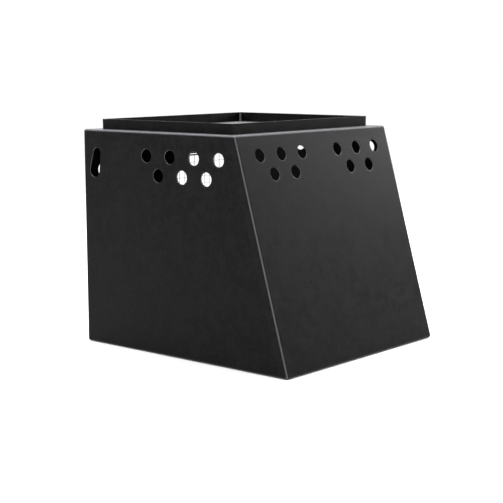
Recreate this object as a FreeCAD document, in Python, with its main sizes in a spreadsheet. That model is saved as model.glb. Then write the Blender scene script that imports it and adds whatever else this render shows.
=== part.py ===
import FreeCAD, Part
import math
import os

import Sketcher
from FreeCAD import Placement, Rotation, Vector

# A vented box of folded sheet steel, with a raised collar on its deck and a hinged mesh door in
# its back.
#
# Frame: millimetres, +Z up. The box stands on Z 0, -Y is the slanted front, -X is the left side.
# The origin is the middle of the footprint, counted over the latch that stands proud of the back.

DIMENSIONS = {
    # The box: outer sizes, with the top and bottom of the slanted front 'slope_run' apart.
    "width": 380,
    "depth": 425,
    "deck_height": 348,
    "slope_run": 100,
    "sheet": 2,
    "bend_radius": 4,
    "fold_depth": 15,
    "back_fold_depth": 9,
    "floor_gap": 0.5,
    # The collar round the deck.
    "collar_height": 16,
    "collar_side_inset": 21.5,
    "collar_front_inset": 23,
    "collar_back_inset": 23.5,
    "collar_weld_leg": 2.5,
    # Vent holes: two staggered rows in each wall.
    "vent_radius": 10.5,
    "vent_row_gap": 29.7,
    "side_vent_drop": 37,
    "left_upper_setback": 207,
    "left_lower_setback": 207,
    "left_vent_pitch": 50,
    "right_upper_setback": 204.2,
    "right_lower_setback": 201.2,
    "right_vent_pitch": 49.5,
    "front_vent_drop": 31.8,
    "front_vent_pitch": 50,
    "front_vent_spread": 190.4,
    "front_vent_shift": 2.3,
    # Teardrop hanging slots: the narrow end is above the wide end and further from the back.
    "slot_narrow_radius": 8.4,
    "slot_wide_radius": 10.7,
    "slot_narrow_setback": 31.1,
    "slot_wide_setback": 25.4,
    "slot_narrow_drop": 37.3,
    "slot_wide_drop": 65.5,
    # Vent holes and slots have their outside rims rounded by this much.
    "rim_round": 1,
    # The round hole in the back.
    "back_hole_radius": 11.5,
    "back_hole_inset": 41,
    "back_hole_drop": 67.5,
    # The door: a rod frame with welded mesh, hung in a window in the back.
    "mesh_pitch": 13,
    "mesh_uprights": 10,
    "mesh_left_gap": 9,
    "mesh_rows": 20,
    "wire_radius": 0.5,
    "rod_radius": 1.5,
    "rod_bend": 5,
    "rod_clearance": 1.3,
    "rod_plane": 0.25,
    "window_edge": 25,
    "window_drop": 53.7,
    "stop_height": 12,
    "stop_width": 14,
    "stop_sheet": 1.5,
    "stop_overlap": 6,
    # Hinge clips, which wrap the door's right-hand rod.
    "clip_sheet": 1,
    "clip_running_gap": 0.05,
    "clip_height": 9,
    "clip_leaf": 16,
    "rivet_radius": 1.6,
    "rivet_head_radius": 3,
    "rivet_head_height": 1,
    "rivet_tail_radius": 2.4,
    "rivet_tail_height": 2,
    "clip_rivet_inset": 4.2,
    # Slide bolt on the door's left-hand rod, and its keeper on the back. The bolt is drawn back,
    # with its handle near the far guide, and runs forward until the handle meets the near one.
    "bolt_radius": 2.5,
    "bolt_length": 54,
    "bolt_lead": 1,
    "bolt_gap": 0.3,
    "bolt_tip_chamfer": 0.8,
    "latch_plate_sheet": 1.5,
    "latch_plate_width": 41,
    "latch_plate_height": 24,
    "guide_wall": 1.5,
    "guide_floor": 0.7,
    "guide_length": 6,
    "guide_inset": 3,
    "handle_radius": 2,
    "handle_drop": 20,
    "handle_setback": 28,
    "keeper_length": 8,
    "keeper_foot": 9,
    "keeper_sheet": 1.5,
    "keeper_inset": 4,
}

# Places and lengths that follow from the sheet, as expressions that the document can bind.
PROUD = (
    "(Dims.rod_radius - Dims.rod_plane + Dims.latch_plate_sheet + 2 * Dims.bolt_gap"
    " + 2 * Dims.bolt_radius + Dims.guide_floor + Dims.guide_wall)"
)
SLOPE = "(Dims.slope_run / Dims.deck_height)"
SLOPE_LENGTH = "sqrt(Dims.slope_run ^ 2 + Dims.deck_height ^ 2)"
# The bend at the front's foot starts this far behind the corner that the flat faces would meet at.
FOOT_SETBACK = f"(Dims.bend_radius * ({SLOPE} + {SLOPE_LENGTH} / Dims.deck_height - 1))"
FRONT_Y = f"(-(Dims.depth + {PROUD} + {FOOT_SETBACK}) / 2)"
BACK_Y = f"({FRONT_Y} + Dims.depth)"
SIDE_X = "(Dims.width / 2)"
SKIRT_Z = "(Dims.deck_height - Dims.fold_depth)"
ROD_INSET = "(Dims.rod_radius + Dims.rod_clearance)"
DOOR_WIDTH = "(Dims.mesh_uprights * Dims.mesh_pitch + Dims.mesh_left_gap)"
WINDOW_WIDTH = f"({DOOR_WIDTH} + 2 * {ROD_INSET})"
WINDOW_HEIGHT = f"(Dims.mesh_rows * Dims.mesh_pitch + 2 * {ROD_INSET})"
WINDOW_RIGHT = f"({SIDE_X} - Dims.window_edge)"
WINDOW_LEFT = f"({WINDOW_RIGHT} - {WINDOW_WIDTH})"
WINDOW_TOP = "(Dims.deck_height - Dims.window_drop)"
WINDOW_BOTTOM = f"({WINDOW_TOP} - {WINDOW_HEIGHT})"
DOOR_RIGHT = f"({WINDOW_RIGHT} - {ROD_INSET})"
DOOR_LEFT = f"({WINDOW_LEFT} + {ROD_INSET})"
DOOR_TOP = f"({WINDOW_TOP} - {ROD_INSET})"
DOOR_BOTTOM = f"({WINDOW_BOTTOM} + {ROD_INSET})"
DOOR_Y = f"({BACK_Y} - Dims.rod_plane)"
PLATE_Y = f"({DOOR_Y} + Dims.rod_radius)"
BOLT_REACH = "(Dims.latch_plate_sheet + Dims.guide_floor + Dims.bolt_gap + Dims.bolt_radius)"
BOLT_Y = f"({PLATE_Y} + {BOLT_REACH})"
BOLT_Z = f"(({DOOR_TOP} + {DOOR_BOTTOM}) / 2)"
PLATE_LEFT = f"({DOOR_LEFT} - Dims.rod_radius)"
GUIDE_HALF = "(Dims.bolt_radius + Dims.bolt_gap + Dims.guide_wall)"
KEEPER_LEFT = f"({WINDOW_LEFT} - Dims.keeper_inset - Dims.keeper_length)"

UP, DOWN = Vector(0, 0, 1), Vector(0, 0, -1)
BACK, FRONT = Vector(0, 1, 0), Vector(0, -1, 0)
RIGHT, LEFT = Vector(1, 0, 0), Vector(-1, 0, 0)
TOUCHING = 1e-5

doc = FreeCAD.newDocument("vented_box")
sheet = doc.addObject("Spreadsheet::Sheet", "Dims")
for row, (alias, number) in enumerate(DIMENSIONS.items(), start=1):
    sheet.set(f"A{row}", alias)
    sheet.set(f"B{row}", str(number))
    sheet.setAlias(f"B{row}", alias)
doc.recompute()

subparts = {}


def value(expression):
    """The number that an expression over the sheet stands for."""
    return float(sheet.evalExpression(expression))


def keep(feature, label):
    """Registers the object that is one finished piece."""
    feature.Label = label
    subparts[label] = feature
    return feature


def new_body(label):
    body = keep(doc.addObject("PartDesign::Body", label + "_body"), label)
    body.AllowCompound = True
    return body


def new_sketch(body, name, role, offset="0 mm"):
    """A sketch on one of the body's own origin planes, moved along that plane's normal by offset."""
    sketch = body.newObject("Sketcher::SketchObject", name)
    plane = next(f for f in body.Origin.OriginFeatures if f.Role == role)
    sketch.AttachmentSupport = [(plane, "")]
    sketch.MapMode = "FlatFace"
    sketch.setExpression(".AttachmentOffset.Base.z", offset)
    return sketch


def place_point(sketch, geometry, point, across, up):
    """Pins one point of a sketch to expressions for its two coordinates."""
    for kind, expression in (("DistanceX", across), ("DistanceY", up)):
        number = value(expression)
        constraint = Sketcher.Constraint(kind, -1, 1, geometry, point, number)
        index = sketch.addConstraint(constraint)
        sketch.setExpression(f"Constraints[{index}]", expression)


def add_polygon(sketch, corners):
    """A closed outline through corners, each a pair of expressions."""
    points = [Vector(value(a), value(b), 0) for a, b in corners]
    first = sketch.GeometryCount
    for i, point in enumerate(points):
        sketch.addGeometry(Part.LineSegment(point, points[(i + 1) % len(points)]))
    for i, (across, up) in enumerate(corners):
        previous = first + (i - 1) % len(points)
        sketch.addConstraint(Sketcher.Constraint("Coincident", previous, 2, first + i, 1))
        place_point(sketch, first + i, 1, across, up)


def add_rectangle(sketch, across, up):
    """A rectangle from its two limits across and its two limits up."""
    (x1, x2), (y1, y2) = across, up
    add_polygon(sketch, [(x1, y1), (x2, y1), (x2, y2), (x1, y2)])


def add_circle(sketch, across, up, radius):
    centre = Vector(value(across), value(up), 0)
    index = sketch.addGeometry(Part.Circle(centre, UP, value(radius)))
    place_point(sketch, index, 3, across, up)
    constraint = sketch.addConstraint(Sketcher.Constraint("Radius", index, value(radius)))
    sketch.setExpression(f"Constraints[{constraint}]", radius)


def add_slot(sketch, wide, narrow):
    """A teardrop outline round two circles. Each end is (across, up, radius), as expressions."""
    ends = [[value(e) for e in end] for end in (wide, narrow)]
    (x1, y1, r1), (x2, y2, r2) = ends
    heading = math.atan2(y2 - y1, x2 - x1)
    spread = math.acos((r1 - r2) / math.hypot(x2 - x1, y2 - y1))
    left, right = heading + spread, heading - spread

    def rim(x, y, r, angle):
        return Vector(x + r * math.cos(angle), y + r * math.sin(angle), 0)

    wide_circle = Part.Circle(Vector(x1, y1, 0), UP, r1)
    narrow_circle = Part.Circle(Vector(x2, y2, 0), UP, r2)
    full_turn = 2 * math.pi
    wide_arc = sketch.addGeometry(Part.ArcOfCircle(wide_circle, left, right + full_turn))
    narrow_arc = sketch.addGeometry(Part.ArcOfCircle(narrow_circle, right, left))
    side_a = sketch.addGeometry(Part.LineSegment(rim(x1, y1, r1, left), rim(x2, y2, r2, left)))
    side_b = sketch.addGeometry(Part.LineSegment(rim(x2, y2, r2, right), rim(x1, y1, r1, right)))
    for arc, end in ((wide_arc, wide), (narrow_arc, narrow)):
        place_point(sketch, arc, 3, end[0], end[1])
        index = sketch.addConstraint(Sketcher.Constraint("Radius", arc, value(end[2])))
        sketch.setExpression(f"Constraints[{index}]", end[2])
    for first, first_end, second, second_end in (
        (wide_arc, 1, side_a, 1),
        (side_a, 2, narrow_arc, 2),
        (narrow_arc, 1, side_b, 1),
        (side_b, 2, wide_arc, 2),
    ):
        sketch.addConstraint(Sketcher.Constraint("Tangent", first, first_end, second, second_end))


def pad(body, sketch, length, name="Pad"):
    """Adds the sketch's outline, raised along its plane's normal."""
    feature = body.newObject("PartDesign::Pad", f"{sketch.Name}_{name}")
    feature.Profile = sketch
    feature.setExpression("Length", length)
    doc.recompute()
    return feature


def cut_through(body, sketch, name="Cut"):
    """Cuts the sketch's outline right through the body, both ways from its plane."""
    before = body.Shape.Volume
    feature = body.newObject("PartDesign::Pocket", f"{sketch.Name}_{name}")
    feature.Profile = sketch
    feature.Type = "ThroughAll"
    feature.SideType = "Symmetric"
    doc.recompute()
    if body.Shape.Volume >= before:
        raise RuntimeError(f"{feature.Name} cuts nothing")
    return feature


def face_towards(shape, direction):
    """The flat face whose outward normal is nearest to direction."""
    flat = [f for f in shape.Faces if isinstance(f.Surface, Part.Plane)]
    return max(flat, key=lambda f: f.normalAt(0, 0).dot(direction))


def bend_edges(shape, block, open_faces, inner):
    """Names of the edges that get a bend: the hollow's own if inner, else the block's outer ones."""

    def lies_on(edge, face):
        plane = face.Surface
        return all(abs((v.Point - plane.Position).dot(plane.Axis)) < TOUCHING for v in edge.Vertexes)

    names = []
    for index, edge in enumerate(shape.Edges, start=1):
        middle = edge.valueAt((edge.FirstParameter + edge.LastParameter) / 2)
        is_inner = block.isInside(middle, TOUCHING, False)
        if is_inner == inner and not any(lies_on(edge, face) for face in open_faces):
            names.append(f"Edge{index}")
    return names


def folded_sheet(label, outline, hollow, openings):
    """A panel with folded edges: a block, hollowed from its open sides, with every fold bent.

    outline and hollow are each (corners in the YZ plane, low x, length along X), as expressions.
    """
    body = new_body(label)
    corners, low_x, length = outline
    sketch = new_sketch(body, label + "_outline", "YZ_Plane", low_x)
    add_polygon(sketch, corners)
    block = pad(body, sketch, length).Shape.copy()
    open_faces = [face_towards(block, direction) for direction in openings]
    corners, low_x, length = hollow
    inside = new_sketch(body, label + "_inside", "YZ_Plane", low_x)
    add_polygon(inside, corners)
    feature = body.newObject("PartDesign::Pocket", label + "_hollow")
    feature.Profile = inside
    feature.Reversed = True
    feature.setExpression("Length", length)
    doc.recompute()
    for name, radius, inner in (
        ("inner_bends", "Dims.bend_radius - Dims.sheet", True),
        ("outer_bends", "Dims.bend_radius", False),
    ):
        bends = body.newObject("PartDesign::Fillet", f"{label}_{name}")
        bends.Base = (feature, bend_edges(feature.Shape, block, open_faces, inner))
        bends.setExpression("Radius", radius)
        doc.recompute()
        feature = bends
    return body


def round_rims(body, outward):
    """Rounds the outside rim of every opening in the body's wall that faces outward."""
    walls = [f for f in body.Shape.Faces if isinstance(f.Surface, Part.Plane)]
    wall = max(walls, key=lambda f: (round(f.normalAt(0, 0).dot(outward), 6), f.Area))
    rims = [e for wire in wall.Wires if not wire.isSame(wall.OuterWire) for e in wire.Edges]
    names = []
    for index, edge in enumerate(body.Shape.Edges, start=1):
        if any(edge.isSame(rim) for rim in rims):
            names.append(f"Edge{index}")
    tip = body.Tip
    feature = body.newObject("PartDesign::Fillet", body.Label + "_rims")
    feature.Base = (tip, names)
    feature.setExpression("Radius", "Dims.rim_round")
    doc.recompute()


def flat_plate(label, corner, size):
    """A rectangular plate from its lowest corner and its three sizes, all expressions."""
    plate = keep(doc.addObject("Part::Box", label + "_box"), label)
    for name, expression in zip(("Length", "Width", "Height"), size):
        plate.setExpression(name, expression)
    for name, expression in zip("xyz", corner):
        plate.setExpression(f"Placement.Base.{name}", expression)
    return plate


slope_angle = math.atan(value(SLOPE))
INTO_FRONT = Vector(0, math.cos(slope_angle), -math.sin(slope_angle))

INNER_X = f"({SIDE_X} - Dims.sheet)"
FRONT_SHEET = f"(Dims.sheet * {SLOPE_LENGTH} / Dims.deck_height)"
PAST_SKIRT_Z = f"({SKIRT_Z} + Dims.fold_depth)"
FULL_WIDTH = (f"-{SIDE_X}", "Dims.width")
INNER_WIDTH = (f"-{INNER_X}", "Dims.width - 2 * Dims.sheet")


def front_at(z, behind="0"):
    """The slanted front face's y at a height, or a plane that lies behind it, as an expression."""
    return f"({FRONT_Y} + {SLOPE} * {z} + {behind})"


def slanted(low_z, high_z, front, back):
    """Corners of a strip between two planes: each plane is a function of z."""
    ends = (low_z, high_z)
    return [(front(z), z) for z in ends] + [(back(z), z) for z in reversed(ends)]


def behind_front(distance):
    return lambda z: front_at(z, distance)


def before_back(distance):
    return lambda z: f"({BACK_Y} - {distance})"


def add_vent_rows(sketch, centres, pitch, top_row, count):
    """Vent holes in two staggered rows, each with its own centre: count above, one fewer below."""
    for row, centre in enumerate(centres):
        holes = count - row
        for i in range(holes):
            across = f"{centre} + ({2 * i - holes + 1}) * {pitch} / 2"
            add_circle(sketch, across, f"{top_row} - {row} * Dims.vent_row_gap", "Dims.vent_radius")


def build_deck_panel():
    outline = slanted(SKIRT_Z, "Dims.deck_height", behind_front("0"), before_back("0"))
    low, high = f"({SKIRT_Z} - Dims.fold_depth)", "(Dims.deck_height - Dims.sheet)"
    hollow = slanted(low, high, behind_front(FRONT_SHEET), before_back("Dims.sheet"))
    folded_sheet("deck_panel", (outline, *FULL_WIDTH), (hollow, *INNER_WIDTH), [DOWN])


def build_front_panel():
    outline = slanted("0", SKIRT_Z, behind_front("0"), behind_front("Dims.fold_depth"))
    past_fold = behind_front("2 * Dims.fold_depth")
    hollow = slanted("Dims.sheet", PAST_SKIRT_Z, behind_front(FRONT_SHEET), past_fold)
    openings = [UP, INTO_FRONT]
    body = folded_sheet("front_panel", (outline, *FULL_WIDTH), (hollow, *INNER_WIDTH), openings)
    vents = new_sketch(body, "front_vents", "XZ_Plane")
    vents.AttachmentOffset = Placement(Vector(0, 0, 0), Rotation(RIGHT, -math.degrees(slope_angle)))
    vents.setExpression(".AttachmentOffset.Base.y", "Dims.deck_height")
    vents.setExpression(".AttachmentOffset.Base.z", f"-({FRONT_Y} + Dims.slope_run)")
    for side in (-1, 1):
        centre = f"({side} * Dims.front_vent_spread / 2 + Dims.front_vent_shift)"
        pitch, top_row = "Dims.front_vent_pitch", "-Dims.front_vent_drop"
        add_vent_rows(vents, (centre, centre), pitch, top_row, 3)
    cut_through(body, vents)
    round_rims(body, INTO_FRONT * -1)


def build_side_panel(label, inward):
    fold = "Dims.fold_depth"
    outline = slanted("0", SKIRT_Z, behind_front(fold), before_back("Dims.back_fold_depth"))
    hollow = slanted("Dims.sheet", PAST_SKIRT_Z, behind_front("0"), before_back("0"))
    if inward == RIGHT:
        wall = "left"
        outer_span = (f"-{SIDE_X}", fold)
        inner_span = (f"-{INNER_X}", fold)
    else:
        wall = "right"
        outer_span = (f"({SIDE_X} - {fold})", fold)
        inner_span = (f"({INNER_X} - {fold})", fold)
    openings = [UP, inward, BACK, INTO_FRONT * -1]
    body = folded_sheet(label, (outline, *outer_span), (hollow, *inner_span), openings)
    vents = new_sketch(body, label + "_vents", "YZ_Plane")
    centres = [f"({FRONT_Y} + Dims.{wall}_{row}_setback)" for row in ("upper", "lower")]
    top_row = "(Dims.deck_height - Dims.side_vent_drop)"
    add_vent_rows(vents, centres, f"Dims.{wall}_vent_pitch", top_row, 4)
    cut_through(body, vents)
    slot = new_sketch(body, label + "_slot", "YZ_Plane")
    ends = [
        (
            f"{BACK_Y} - Dims.slot_{end}_setback",
            f"Dims.deck_height - Dims.slot_{end}_drop",
            f"Dims.slot_{end}_radius",
        )
        for end in ("wide", "narrow")
    ]
    add_slot(slot, *ends)
    cut_through(body, slot)
    round_rims(body, inward * -1)


def build_back_panel():
    outline = slanted("0", SKIRT_Z, before_back("Dims.back_fold_depth"), before_back("0"))
    past_fold = before_back("2 * Dims.back_fold_depth")
    hollow = slanted("Dims.sheet", PAST_SKIRT_Z, past_fold, before_back("Dims.sheet"))
    openings = [UP, FRONT]
    body = folded_sheet("back_panel", (outline, *FULL_WIDTH), (hollow, *INNER_WIDTH), openings)
    window = new_sketch(body, "back_window", "XZ_Plane", f"-{BACK_Y}")
    sides, ends = (WINDOW_LEFT, WINDOW_RIGHT), (WINDOW_BOTTOM, WINDOW_TOP)
    add_rectangle(window, sides, ends)
    cut_through(body, window)
    hole = new_sketch(body, "back_hole", "XZ_Plane", f"-{BACK_Y}")
    across = f"-{SIDE_X} + Dims.back_hole_inset"
    add_circle(hole, across, "Dims.deck_height - Dims.back_hole_drop", "Dims.back_hole_radius")
    cut_through(body, hole)
    return body


def build_floor():
    """A flat sheet that lies inside on the walls' folded bottom edges, clear of their bends."""
    inset = "(Dims.bend_radius + Dims.floor_gap)"
    corner = (f"-{SIDE_X} + {inset}", front_at("2 * Dims.sheet", inset), "Dims.sheet")
    size = (
        f"Dims.width - 2 * {inset}",
        f"Dims.depth - {SLOPE} * 2 * Dims.sheet - 2 * {inset}",
        "Dims.sheet",
    )
    flat_plate("floor_panel", corner, size)


COLLAR_X = f"({SIDE_X} - Dims.collar_side_inset)"
COLLAR_FRONT = f"({FRONT_Y} + Dims.slope_run + Dims.collar_front_inset)"
COLLAR_BACK = f"({BACK_Y} - Dims.collar_back_inset)"


def build_collar():
    """Four flat bars on edge: the two side bars run full length and the others fit between them."""
    deck, bar, height = "Dims.deck_height", "Dims.sheet", "Dims.collar_height"
    length = f"{COLLAR_BACK} - {COLLAR_FRONT}"
    flat_plate("collar_left", (f"-{COLLAR_X}", COLLAR_FRONT, deck), (bar, length, height))
    flat_plate("collar_right", (f"{COLLAR_X} - {bar}", COLLAR_FRONT, deck), (bar, length, height))
    between = f"2 * ({COLLAR_X} - {bar})"
    corner_x = f"-{COLLAR_X} + {bar}"
    flat_plate("collar_front", (corner_x, COLLAR_FRONT, deck), (between, bar, height))
    flat_plate("collar_back", (corner_x, f"{COLLAR_BACK} - {bar}", deck), (between, bar, height))
    welds = new_body("collar_corner_welds")
    for side in (-1, 1):
        for end, y in ((1, f"({COLLAR_FRONT} + {bar})"), (-1, f"({COLLAR_BACK} - {bar})")):
            x = f"({side} * ({COLLAR_X} - {bar}))"
            name = f"weld_{'left' if side < 0 else 'right'}_{'front' if end > 0 else 'back'}"
            bead = new_sketch(welds, name, "XY_Plane", deck)
            leg_x = f"{x} - {side} * Dims.collar_weld_leg"
            leg_y = f"{y} + {end} * Dims.collar_weld_leg"
            add_polygon(bead, [(x, y), (leg_x, y), (x, leg_y)])
            pad(welds, bead, height)


def rounded_loop(sketch, across, up, bend):
    """A rectangle with round corners, as a path of straight runs and quarter arcs."""
    (x1, x2), (y1, y2) = across, up
    middles = [(x2, y2, 0), (x1, y2, 90), (x1, y1, 180), (x2, y1, 270)]
    arcs = []
    for x, y, start in middles:
        inward_x = "-" if x == x2 else "+"
        inward_y = "-" if y == y2 else "+"
        centre = (f"{x} {inward_x} {bend}", f"{y} {inward_y} {bend}")
        circle = Part.Circle(Vector(value(centre[0]), value(centre[1]), 0), UP, value(bend))
        angles = math.radians(start), math.radians(start + 90)
        arc = sketch.addGeometry(Part.ArcOfCircle(circle, *angles))
        place_point(sketch, arc, 3, *centre)
        index = sketch.addConstraint(Sketcher.Constraint("Radius", arc, value(bend)))
        sketch.setExpression(f"Constraints[{index}]", bend)
        arcs.append(arc)
    for arc, following in zip(arcs, arcs[1:] + arcs[:1]):
        first = sketch.Geometry[arc].EndPoint
        last = sketch.Geometry[following].StartPoint
        run = sketch.addGeometry(Part.LineSegment(first, last))
        sketch.addConstraint(Sketcher.Constraint("Tangent", arc, 2, run, 1))
        sketch.addConstraint(Sketcher.Constraint("Tangent", run, 2, following, 1))


def build_door():
    """The door's rod frame and its welded mesh: uprights behind, cross wires in front."""
    frame = new_body("door_frame")
    path = new_sketch(frame, "door_path", "XZ_Plane", f"-{DOOR_Y}")
    rounded_loop(path, (DOOR_LEFT, DOOR_RIGHT), (DOOR_BOTTOM, DOOR_TOP), "Dims.rod_bend")
    section = new_sketch(frame, "door_rod", "XY_Plane", BOLT_Z)
    add_circle(section, DOOR_LEFT, DOOR_Y, "Dims.rod_radius")
    doc.recompute()
    pipe = frame.newObject("PartDesign::AdditivePipe", "door_pipe")
    pipe.Profile = section
    pipe.Spine = (path, [f"Edge{i + 1}" for i in range(len(path.Shape.Edges))])
    doc.recompute()

    uprights = new_body("door_upright_wires")
    feet = new_sketch(uprights, "upright_wires", "XY_Plane", f"{DOOR_BOTTOM} + Dims.rod_radius")
    for i in range(1, DIMENSIONS["mesh_uprights"] + 1):
        across = f"{DOOR_RIGHT} - {i} * Dims.mesh_pitch"
        add_circle(feet, across, f"{DOOR_Y} - Dims.wire_radius", "Dims.wire_radius")
    pad(uprights, feet, f"{DOOR_TOP} - {DOOR_BOTTOM} - 2 * Dims.rod_radius")

    crosses = new_body("door_cross_wires")
    ends = new_sketch(crosses, "cross_wires", "YZ_Plane", f"{DOOR_LEFT} + Dims.rod_radius")
    for i in range(1, DIMENSIONS["mesh_rows"]):
        up = f"{DOOR_BOTTOM} + {i} * Dims.mesh_pitch"
        add_circle(ends, f"{DOOR_Y} + Dims.wire_radius", up, "Dims.wire_radius")
    pad(crosses, ends, f"{DOOR_RIGHT} - {DOOR_LEFT} - 2 * Dims.rod_radius")


def mid_row(row):
    """The height midway between two of the door's cross wires."""
    return f"({DOOR_BOTTOM} + ({row} + 0.5) * Dims.mesh_pitch)"


CLIP_ROWS = (2, DIMENSIONS["mesh_rows"] - 3)
STOP_ROWS = (4, DIMENSIONS["mesh_rows"] - 5)


def build_hinge_clips():
    """Sheet straps riveted to the back, each wrapped round the door's right-hand rod."""
    clips = new_body("hinge_clips")
    wrap = "(Dims.rod_radius + Dims.clip_running_gap + Dims.clip_sheet)"
    for row in CLIP_ROWS:
        low = f"({mid_row(row)} - Dims.clip_height / 2)"
        ring = new_sketch(clips, f"clip_ring_{row}", "XY_Plane", low)
        add_circle(ring, DOOR_RIGHT, DOOR_Y, wrap)
        pad(clips, ring, "Dims.clip_height")
        leaf = new_sketch(clips, f"clip_leaf_{row}", "XY_Plane", low)
        across = (DOOR_RIGHT, f"{WINDOW_RIGHT} + Dims.clip_leaf")
        add_rectangle(leaf, across, (BACK_Y, f"{BACK_Y} + Dims.clip_sheet"))
        pad(clips, leaf, "Dims.clip_height")
    bore = new_sketch(clips, "clip_bore", "XY_Plane", BOLT_Z)
    add_circle(bore, DOOR_RIGHT, DOOR_Y, "Dims.rod_radius + Dims.clip_running_gap")
    cut_through(clips, bore)
    near, far = "Dims.clip_rivet_inset", "(Dims.clip_leaf - Dims.clip_rivet_inset)"
    places = [
        (f"{WINDOW_RIGHT} + {inset}", mid_row(row)) for row in CLIP_ROWS for inset in (near, far)
    ]
    drill(clips, "clip_holes", places)
    add_rivets("hinge_rivets", places, "Dims.clip_sheet")
    return places


def drill(body, name, places):
    """Rivet holes through the body along Y."""
    holes = new_sketch(body, name, "XZ_Plane", f"-{BACK_Y}")
    for across, up in places:
        add_circle(holes, across, up, "Dims.rivet_radius")
    cut_through(body, holes)


def add_rivets(label, places, grip):
    """Blind rivets: a flat head outside, a shank through the leaf and the back, and a tail inside."""
    rivets = new_body(label)
    inner_y = f"({BACK_Y} - Dims.sheet)"
    outer_y = f"({BACK_Y} + {grip})"
    for part, y, length, radius in (
        ("tail", f"({inner_y} - Dims.rivet_tail_height)", "Dims.rivet_tail_height", "tail"),
        ("shank", inner_y, f"Dims.sheet + {grip}", ""),
        ("head", outer_y, "Dims.rivet_head_height", "head"),
    ):
        circles = new_sketch(rivets, f"{label}_{part}", "XZ_Plane", f"-({y} + {length})")
        size = f"Dims.rivet_{radius}_radius" if radius else "Dims.rivet_radius"
        for across, up in places:
            add_circle(circles, across, up, size)
        pad(rivets, circles, length)


def build_stops():
    """Two tabs inside the back, which the door's left-hand rod closes against."""
    stops = new_body("door_stops")
    inner_y = f"({BACK_Y} - Dims.sheet)"
    for row in STOP_ROWS:
        low = f"({mid_row(row)} - Dims.stop_height / 2)"
        tab = new_sketch(stops, f"stop_{row}", "XY_Plane", low)
        right = f"({DOOR_LEFT} + Dims.stop_overlap - Dims.rod_radius * 2)"
        across = (f"{right} - Dims.stop_width", right)
        add_rectangle(tab, across, (f"{inner_y} - Dims.stop_sheet", inner_y))
        pad(stops, tab, "Dims.stop_height")


def build_latch():
    """A slide bolt in two guides on a plate welded over the door's left-hand rod."""
    corner = (PLATE_LEFT, PLATE_Y, f"{BOLT_Z} - Dims.latch_plate_height / 2")
    size = ("Dims.latch_plate_width", "Dims.latch_plate_sheet", "Dims.latch_plate_height")
    flat_plate("latch_plate", corner, size)

    guides = new_body("latch_guides")
    plate_face = f"({PLATE_Y} + Dims.latch_plate_sheet)"
    far_guide = "(Dims.latch_plate_width - Dims.guide_inset - Dims.guide_length)"
    for name, setback in (("near", "Dims.guide_inset"), ("far", far_guide)):
        block = new_sketch(guides, f"guide_{name}", "YZ_Plane", f"{PLATE_LEFT} + {setback}")
        add_housing(block, plate_face)
        pad(guides, block, "Dims.guide_length")

    bolt = new_body("latch_bolt")
    tip = new_sketch(bolt, "bolt_section", "YZ_Plane", f"{PLATE_LEFT} - Dims.bolt_lead")
    add_circle(tip, BOLT_Y, BOLT_Z, "Dims.bolt_radius")
    rod = pad(bolt, tip, "Dims.bolt_length")
    chamfer = bolt.newObject("PartDesign::Chamfer", "bolt_ends")
    rims = [f"Edge{i}" for i, e in enumerate(rod.Shape.Edges, start=1) if e.Closed]
    chamfer.Base = (rod, rims)
    chamfer.setExpression("Size", "Dims.bolt_tip_chamfer")
    doc.recompute()
    socket = new_sketch(bolt, "handle_socket", "XY_Plane", BOLT_Z)
    handle_x = f"({PLATE_LEFT} + Dims.handle_setback)"
    add_circle(socket, handle_x, BOLT_Y, "Dims.handle_radius")
    cut = bolt.newObject("PartDesign::Pocket", "handle_socket_cut")
    cut.Profile = socket
    cut.setExpression("Length", "2 * Dims.bolt_radius")
    doc.recompute()

    handle = new_body("latch_handle")
    foot = new_sketch(handle, "handle_section", "XY_Plane", f"{BOLT_Z} - Dims.handle_drop")
    add_circle(foot, handle_x, BOLT_Y, "Dims.handle_radius")
    stem = pad(handle, foot, "Dims.handle_drop")
    end = min(
        (f"Edge{i}" for i, e in enumerate(stem.Shape.Edges, start=1) if e.Closed),
        key=lambda name: stem.Shape.getElement(name).BoundBox.ZMin,
    )
    rounded = handle.newObject("PartDesign::Fillet", "handle_end")
    rounded.Base = (stem, [end])
    rounded.setExpression("Radius", "Dims.handle_radius / 2")
    doc.recompute()


def add_housing(sketch, foot_y):
    """The outline of a block that stands on a face and surrounds the bolt, with the bolt's bore."""
    across = (foot_y, f"{BOLT_Y} + {GUIDE_HALF}")
    add_rectangle(sketch, across, (f"{BOLT_Z} - {GUIDE_HALF}", f"{BOLT_Z} + {GUIDE_HALF}"))
    add_circle(sketch, BOLT_Y, BOLT_Z, "Dims.bolt_radius + Dims.bolt_gap")


def build_keeper():
    """The block on the back that the bolt slides into, on a foot with a rivet above and below."""
    keeper = new_body("latch_keeper")
    block = new_sketch(keeper, "keeper_block", "YZ_Plane", KEEPER_LEFT)
    add_housing(block, BACK_Y)
    pad(keeper, block, "Dims.keeper_length")
    reach = f"({GUIDE_HALF} + Dims.keeper_foot)"
    for name, low, high in (
        ("lower", f"{BOLT_Z} - {reach}", f"{BOLT_Z} - {GUIDE_HALF}"),
        ("upper", f"{BOLT_Z} + {GUIDE_HALF}", f"{BOLT_Z} + {reach}"),
    ):
        foot = new_sketch(keeper, f"keeper_foot_{name}", "YZ_Plane", KEEPER_LEFT)
        add_rectangle(foot, (BACK_Y, f"{BACK_Y} + Dims.keeper_sheet"), (low, high))
        pad(keeper, foot, "Dims.keeper_length")
    middle = f"{KEEPER_LEFT} + Dims.keeper_length / 2"
    offset = f"({GUIDE_HALF} + Dims.keeper_foot / 2)"
    places = [(middle, f"{BOLT_Z} - {offset}"), (middle, f"{BOLT_Z} + {offset}")]
    drill(keeper, "keeper_holes", places)
    add_rivets("keeper_rivets", places, "Dims.keeper_sheet")
    return places


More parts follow.
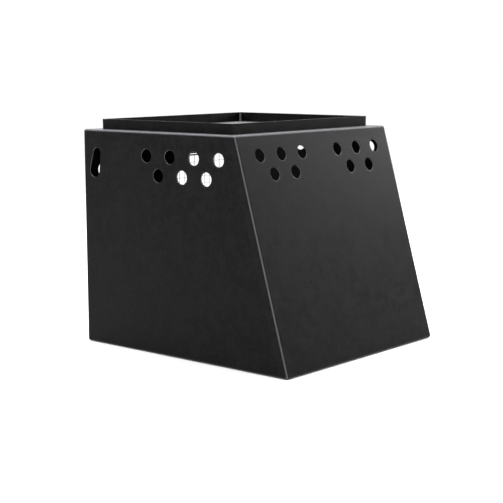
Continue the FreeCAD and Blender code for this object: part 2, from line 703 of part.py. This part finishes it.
def check_pieces():
    """Stops before anything is written if a feature failed or a piece isn't sound."""
    for feature in doc.Objects:
        if {"Invalid", "Error"} & set(feature.State):
            raise RuntimeError(f"{feature.Name} failed: {feature.State}")
    for label, piece in subparts.items():
        if piece.Shape.isNull() or not piece.Shape.isValid() or not piece.Shape.Solids:
            raise RuntimeError(f"{label} has no sound solid")


build_deck_panel()
build_front_panel()
build_side_panel("left_side", RIGHT)
build_side_panel("right_side", LEFT)
back_panel = build_back_panel()
build_floor()
build_collar()
build_door()
clip_places = build_hinge_clips()
build_stops()
build_latch()
keeper_places = build_keeper()
drill(back_panel, "back_rivet_holes", clip_places + keeper_places)
doc.recompute()
check_pieces()

os.makedirs("parts", exist_ok=True)
for label, piece in subparts.items():
    piece.Shape.exportStep(f"parts/{label}.step")
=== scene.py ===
import math

import bpy
from mathutils import Matrix, Vector

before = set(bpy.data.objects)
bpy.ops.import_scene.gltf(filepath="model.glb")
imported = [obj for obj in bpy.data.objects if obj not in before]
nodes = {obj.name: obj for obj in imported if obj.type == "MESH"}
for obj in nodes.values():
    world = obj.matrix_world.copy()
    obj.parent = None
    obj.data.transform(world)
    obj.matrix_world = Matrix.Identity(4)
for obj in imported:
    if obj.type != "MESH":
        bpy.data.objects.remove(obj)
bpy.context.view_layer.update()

# The camera, in the frame of the box: metres, degrees (heading from +Y towards +X) and millimetres.
CAMERA_AT = (-1.5893, -1.3502, 0.4558)
HEADING, TILT, ROLL = 49.385, 8.458, -0.206
LENS, SENSOR = 91.82, 36.0

# Linear tones of the powder coat: its darkest and lightest black, and a painted sheen, a bright
# grey mixed into the colour on bends, rims and upward faces as a painted highlight.
BLACK = ((0.0010, 0.00098, 0.00105), (0.0077, 0.0075, 0.0079))
PAINTED_SHEEN = (0.115, 0.112, 0.122)

# A colour Mix node's sockets by number, since its inputs share names with those for other types.
MIX_FACTOR, MIX_FIRST, MIX_SECOND, MIX_COLOUR = 0, 6, 7, 2

# Soft lights, each a square that faces the middle of the box:
# (name, place, height aimed at, side in metres, watts)
LIGHTS = (
    ("rim_above", (1.1, 1.1, 1.8), 0.30, 1.6, 20),
    ("top", (-0.15, 0.05, 2.2), 0.30, 1.3, 26),
    ("fill_right", (2.2, -0.5, 1.0), 0.25, 0.8, 36),
    ("fill_left", (-1.5, 1.5, 1.45), 0.25, 0.8, 26),
    ("edge", (-1.6, -1.75, 1.0), 0.20, 0.6, 11),
)


# ---------------------------------------------------------------- node helpers


def set_range(node, low, high, to_low, to_high):
    """Fills in a Map Range node, which takes low..high to to_low..to_high."""
    node.inputs["From Min"].default_value = low
    node.inputs["From Max"].default_value = high
    node.inputs["To Min"].default_value = to_low
    node.inputs["To Max"].default_value = to_high


class Shader:
    """A Principled material and short calls that add and join its nodes."""

    def __init__(self, name, **settings):
        self.material = bpy.data.materials.new(name)
        self.material.use_nodes = True
        self.tree = self.material.node_tree
        self.tree.nodes.clear()
        self.surface = self.add("ShaderNodeBsdfPrincipled")
        output = self.add("ShaderNodeOutputMaterial")
        self.link(self.surface.outputs["BSDF"], output.inputs["Surface"])
        for socket, number in settings.items():
            self.surface.inputs[socket.replace("_", " ")].default_value = number
        self.place = self.add("ShaderNodeTexCoord").outputs["Object"]

    def add(self, kind, **attributes):
        node = self.tree.nodes.new(kind)
        for name, number in attributes.items():
            setattr(node, name, number)
        return node

    def link(self, output, socket):
        self.tree.links.new(output, socket)

    def noise(self, scale, detail=3.0, roughness=0.55, stretch=(1, 1, 1)):
        """A noise value of about 'scale' lumps to the metre, stretched along the axes."""
        mapping = self.add("ShaderNodeMapping")
        mapping.inputs["Scale"].default_value = stretch
        self.link(self.place, mapping.inputs["Vector"])
        texture = self.add("ShaderNodeTexNoise")
        texture.inputs["Scale"].default_value = scale
        texture.inputs["Detail"].default_value = detail
        texture.inputs["Roughness"].default_value = roughness
        self.link(mapping.outputs["Vector"], texture.inputs["Vector"])
        return texture.outputs["Fac"]

    def remap(self, source, low, high, to_low=0.0, to_high=1.0):
        """Takes source from low..high to to_low..to_high, and holds it at the ends."""
        node = self.add("ShaderNodeMapRange")
        set_range(node, low, high, to_low, to_high)
        self.link(source, node.inputs["Value"])
        return node.outputs["Result"]

    def combine(self, operation, first, second):
        node = self.add("ShaderNodeMath", operation=operation)
        self.link(first, node.inputs[0])
        self.link(second, node.inputs[1])
        return node.outputs["Value"]

    def colours(self, source, low, high):
        """A colour that runs from low to high as source goes from 0 to 1."""
        ramp = self.add("ShaderNodeValToRGB")
        for element, colour in zip(ramp.color_ramp.elements, (low, high)):
            element.color = (*colour, 1)
        self.link(source, ramp.inputs["Fac"])
        return ramp.outputs["Color"]

    def bumps(self, layers):
        """Stacks bump layers, each (height, strength, distance in metres)."""
        normal = None
        for height, strength, distance in layers:
            bump = self.add("ShaderNodeBump")
            bump.inputs["Strength"].default_value = strength
            bump.inputs["Distance"].default_value = distance
            self.link(height, bump.inputs["Height"])
            if normal is not None:
                self.link(normal, bump.inputs["Normal"])
            normal = bump.outputs["Normal"]
        self.link(normal, self.surface.inputs["Normal"])


def powder_coat(name, gloss=0.5, along=0.24, level=0.075, painted_sheen_on_top=False):
    """Fine-texture powder coat: a dense grain, an orange-peel wave and a faint cloudy tone.

    Like any rough coat it turns shinier where it is seen along the surface. On bends and rounded
    rims,
    and over the whole of an upward face if painted_sheen_on_top, it is made metallic with a painted
    sheen:
    a bright grey mixed into its colour, a painted highlight for the light that falls on those
    faces.
    """
    coat = Shader(name, Metallic=0.0, Specular_IOR_Level=level)
    cloud = coat.noise(45, detail=4, roughness=1.0)
    grain = coat.noise(1500, detail=2)
    peel = coat.noise(420, detail=3, roughness=0.65)

    fine_tone = coat.remap(peel, 0.38, 0.62, 0, 0.4)
    broad_tone = coat.remap(cloud, 0.42, 0.58, 0, 0.6)
    colour = coat.colours(coat.combine("ADD", fine_tone, broad_tone), *BLACK)

    facing = coat.add("ShaderNodeLayerWeight").outputs["Facing"]
    fine_gloss = coat.remap(peel, 0.38, 0.62, -0.07, 0.07)
    broad_gloss = coat.remap(cloud, 0.42, 0.58, -0.06, 0.06)
    patchy = coat.combine("ADD", fine_gloss, broad_gloss)
    along_surface = coat.remap(facing, 0.35, 0.9, gloss, along)
    coat.link(coat.combine("ADD", along_surface, patchy), coat.surface.inputs["Roughness"])

    # Painted highlight: faces picked by their normal (bends and rims, or upward faces) turn
    # metallic with the bright painted sheen colour.
    size = coat.add("ShaderNodeVectorMath", operation="ABSOLUTE")
    coat.link(coat.add("ShaderNodeNewGeometry").outputs["Normal"], size.inputs[0])
    split = coat.add("ShaderNodeSeparateXYZ")
    coat.link(size.outputs["Vector"], split.inputs["Vector"])
    upright = coat.combine("MAXIMUM", split.outputs["X"], split.outputs["Y"])
    if painted_sheen_on_top:
        painted_sheen_mask = coat.remap(upright, 0.97, 0.75)
    else:
        flat = coat.combine("MAXIMUM", upright, split.outputs["Z"])
        painted_sheen_mask = coat.remap(flat, 0.94, 0.78)
    coat.link(painted_sheen_mask, coat.surface.inputs["Metallic"])
    painted_sheen_mix = coat.add("ShaderNodeMix", data_type="RGBA")
    painted_sheen_mix.inputs[MIX_SECOND].default_value = (*PAINTED_SHEEN, 1)
    coat.link(painted_sheen_mask, painted_sheen_mix.inputs[MIX_FACTOR])
    coat.link(colour, painted_sheen_mix.inputs[MIX_FIRST])
    coat.link(painted_sheen_mix.outputs[MIX_COLOUR], coat.surface.inputs["Base Color"])
    coat.bumps([(cloud, 0.6, 0.0002), (peel, 0.8, 0.0001), (grain, 0.6, 0.00004)])
    return coat.material


def zinc(name, shade, gloss, stretch=(1, 1, 1)):
    """Bright zinc plate: metallic, with soft cloudy dullness and fine drawing lines."""
    metal = Shader(name, Metallic=1.0)
    cloud = metal.noise(160, detail=4)
    lines = metal.noise(900, detail=2, stretch=stretch)
    dull = tuple(c * 0.82 for c in shade)
    colour = metal.colours(metal.remap(cloud, 0.3, 0.7), dull, shade)
    metal.link(colour, metal.surface.inputs["Base Color"])
    roughness = metal.remap(cloud, 0.3, 0.7, gloss, gloss + 0.14)
    metal.link(roughness, metal.surface.inputs["Roughness"])
    metal.bumps([(lines, 0.3, 0.00002)])
    return metal.material


def dress(material, *names):
    """Gives the material to every slot of the named CAD nodes."""
    for name in names:
        slots = nodes[name].data.materials
        if not len(slots):
            slots.append(material)
        for i in range(len(slots)):
            slots[i] = material


dress(powder_coat("side_coat"), "left_side", "right_side")
dress(powder_coat("front_coat", level=0.09), "front_panel")
# The deck's upward faces carry the painted sheen, a painted highlight for the light from above.
dress(powder_coat("deck_coat", along=0.5, painted_sheen_on_top=True), "deck_panel")
dress(powder_coat("back_coat"), "back_panel")
dress(powder_coat("floor_coat"), "floor_panel")
dress(powder_coat("collar_coat"), "collar_left", "collar_right", "collar_front", "collar_back")
dress(powder_coat("weld_coat"), "collar_corner_welds")
dress(powder_coat("stop_coat"), "door_stops")
dress(zinc("wire_zinc", (0.62, 0.62, 0.61), 0.32), "door_upright_wires", "door_cross_wires")
dress(zinc("rod_zinc", (0.60, 0.60, 0.60), 0.28), "door_frame")
dress(zinc("clip_zinc", (0.40, 0.40, 0.39), 0.32), "hinge_clips")
dress(zinc("plate_zinc", (0.40, 0.40, 0.39), 0.32), "latch_plate", "latch_guides", "latch_keeper")
bolt_zinc = zinc("bolt_zinc", (0.46, 0.46, 0.46), 0.26, stretch=(0.05, 1, 1))
dress(bolt_zinc, "latch_bolt", "latch_handle")
dress(zinc("rivet_metal", (0.48, 0.48, 0.48), 0.32), "hinge_rivets", "keeper_rivets")


# ---------------------------------------------------------------- studio


def plain(name, colour, roughness, **settings):
    shader = Shader(name, Roughness=roughness, **settings)
    speck = shader.noise(40, detail=3)
    low = tuple(c * 0.985 for c in colour)
    shader.link(shader.colours(speck, low, colour), shader.surface.inputs["Base Color"])
    return shader.material


def build_floor():
    """A wide pale floor that the box stands on."""
    reach = 300.0
    mesh = bpy.data.meshes.new("floor")
    corners = [(-reach, -reach, 0), (reach, -reach, 0), (reach, reach, 0), (-reach, reach, 0)]
    mesh.from_pydata(corners, [], [(0, 1, 2, 3)])
    floor = bpy.data.objects.new("floor", mesh)
    floor.location.z = -0.0002
    bpy.context.scene.collection.objects.link(floor)
    mesh.materials.append(plain("floor_white", (0.95, 0.95, 0.95), 0.9, Specular_IOR_Level=0.1))


def area_light(name, place, aim_height, side, watts):
    light = bpy.data.lights.new(name, "AREA")
    light.shape = "SQUARE"
    light.size = side
    light.energy = watts
    lamp = bpy.data.objects.new(name, light)
    lamp.location = place
    lamp.rotation_mode = "QUATERNION"
    aim = Vector((0, 0, aim_height)) - Vector(place)
    lamp.rotation_quaternion = aim.to_track_quat("-Z", "Y")
    bpy.context.scene.collection.objects.link(lamp)


def build_world(behind, before, overhead):
    """Even light all round: white behind the box, a dimmer room on the near side, bright above."""
    world = bpy.data.worlds.new("studio")
    world.use_nodes = True
    tree = world.node_tree
    heading = math.radians(HEADING)
    direction = tree.nodes.new("ShaderNodeTexCoord").outputs["Generated"]

    def spread(axis, low, high, dim, bright):
        """Light that grows from dim to bright as the direction turns towards the axis."""
        towards = tree.nodes.new("ShaderNodeVectorMath")
        towards.operation = "DOT_PRODUCT"
        towards.inputs[1].default_value = axis
        tree.links.new(direction, towards.inputs[0])
        level = tree.nodes.new("ShaderNodeMapRange")
        level.interpolation_type = "SMOOTHSTEP"
        set_range(level, low, high, dim, bright)
        tree.links.new(towards.outputs["Value"], level.inputs["Value"])
        return level.outputs["Result"]

    total = tree.nodes.new("ShaderNodeMath")
    total.operation = "ADD"
    away = (math.sin(heading), math.cos(heading), 0)
    tree.links.new(spread(away, -0.1, 0.8, before, behind), total.inputs[0])
    tree.links.new(spread((0, 0, 1), 0.35, 0.95, 0.0, overhead), total.inputs[1])
    background = tree.nodes["Background"]
    background.inputs["Color"].default_value = (1, 1, 1, 1)
    tree.links.new(total.outputs["Value"], background.inputs["Strength"])
    bpy.context.scene.world = world


def build_camera():
    heading, tilt, roll = (math.radians(angle) for angle in (HEADING, TILT, ROLL))
    ahead = Vector((math.sin(heading), math.cos(heading), 0))
    forward = ahead * math.cos(tilt) - Vector((0, 0, math.sin(tilt)))
    level = Vector((math.cos(heading), -math.sin(heading), 0))
    upward = level.cross(forward)
    right = level * math.cos(roll) + upward * math.sin(roll)
    up = upward * math.cos(roll) - level * math.sin(roll)
    camera = bpy.data.objects.new("camera", bpy.data.cameras.new("camera"))
    camera.data.lens = LENS
    camera.data.sensor_width = SENSOR
    turn = Matrix((right, up, -forward)).transposed().to_4x4()
    camera.matrix_world = Matrix.Translation(CAMERA_AT) @ turn
    bpy.context.scene.collection.objects.link(camera)
    bpy.context.scene.camera = camera


build_floor()
build_world(behind=1.1, before=0.17, overhead=1.15)
for lamp_settings in LIGHTS:
    area_light(*lamp_settings)
build_camera()
bpy.context.scene.view_settings.view_transform = "Standard"
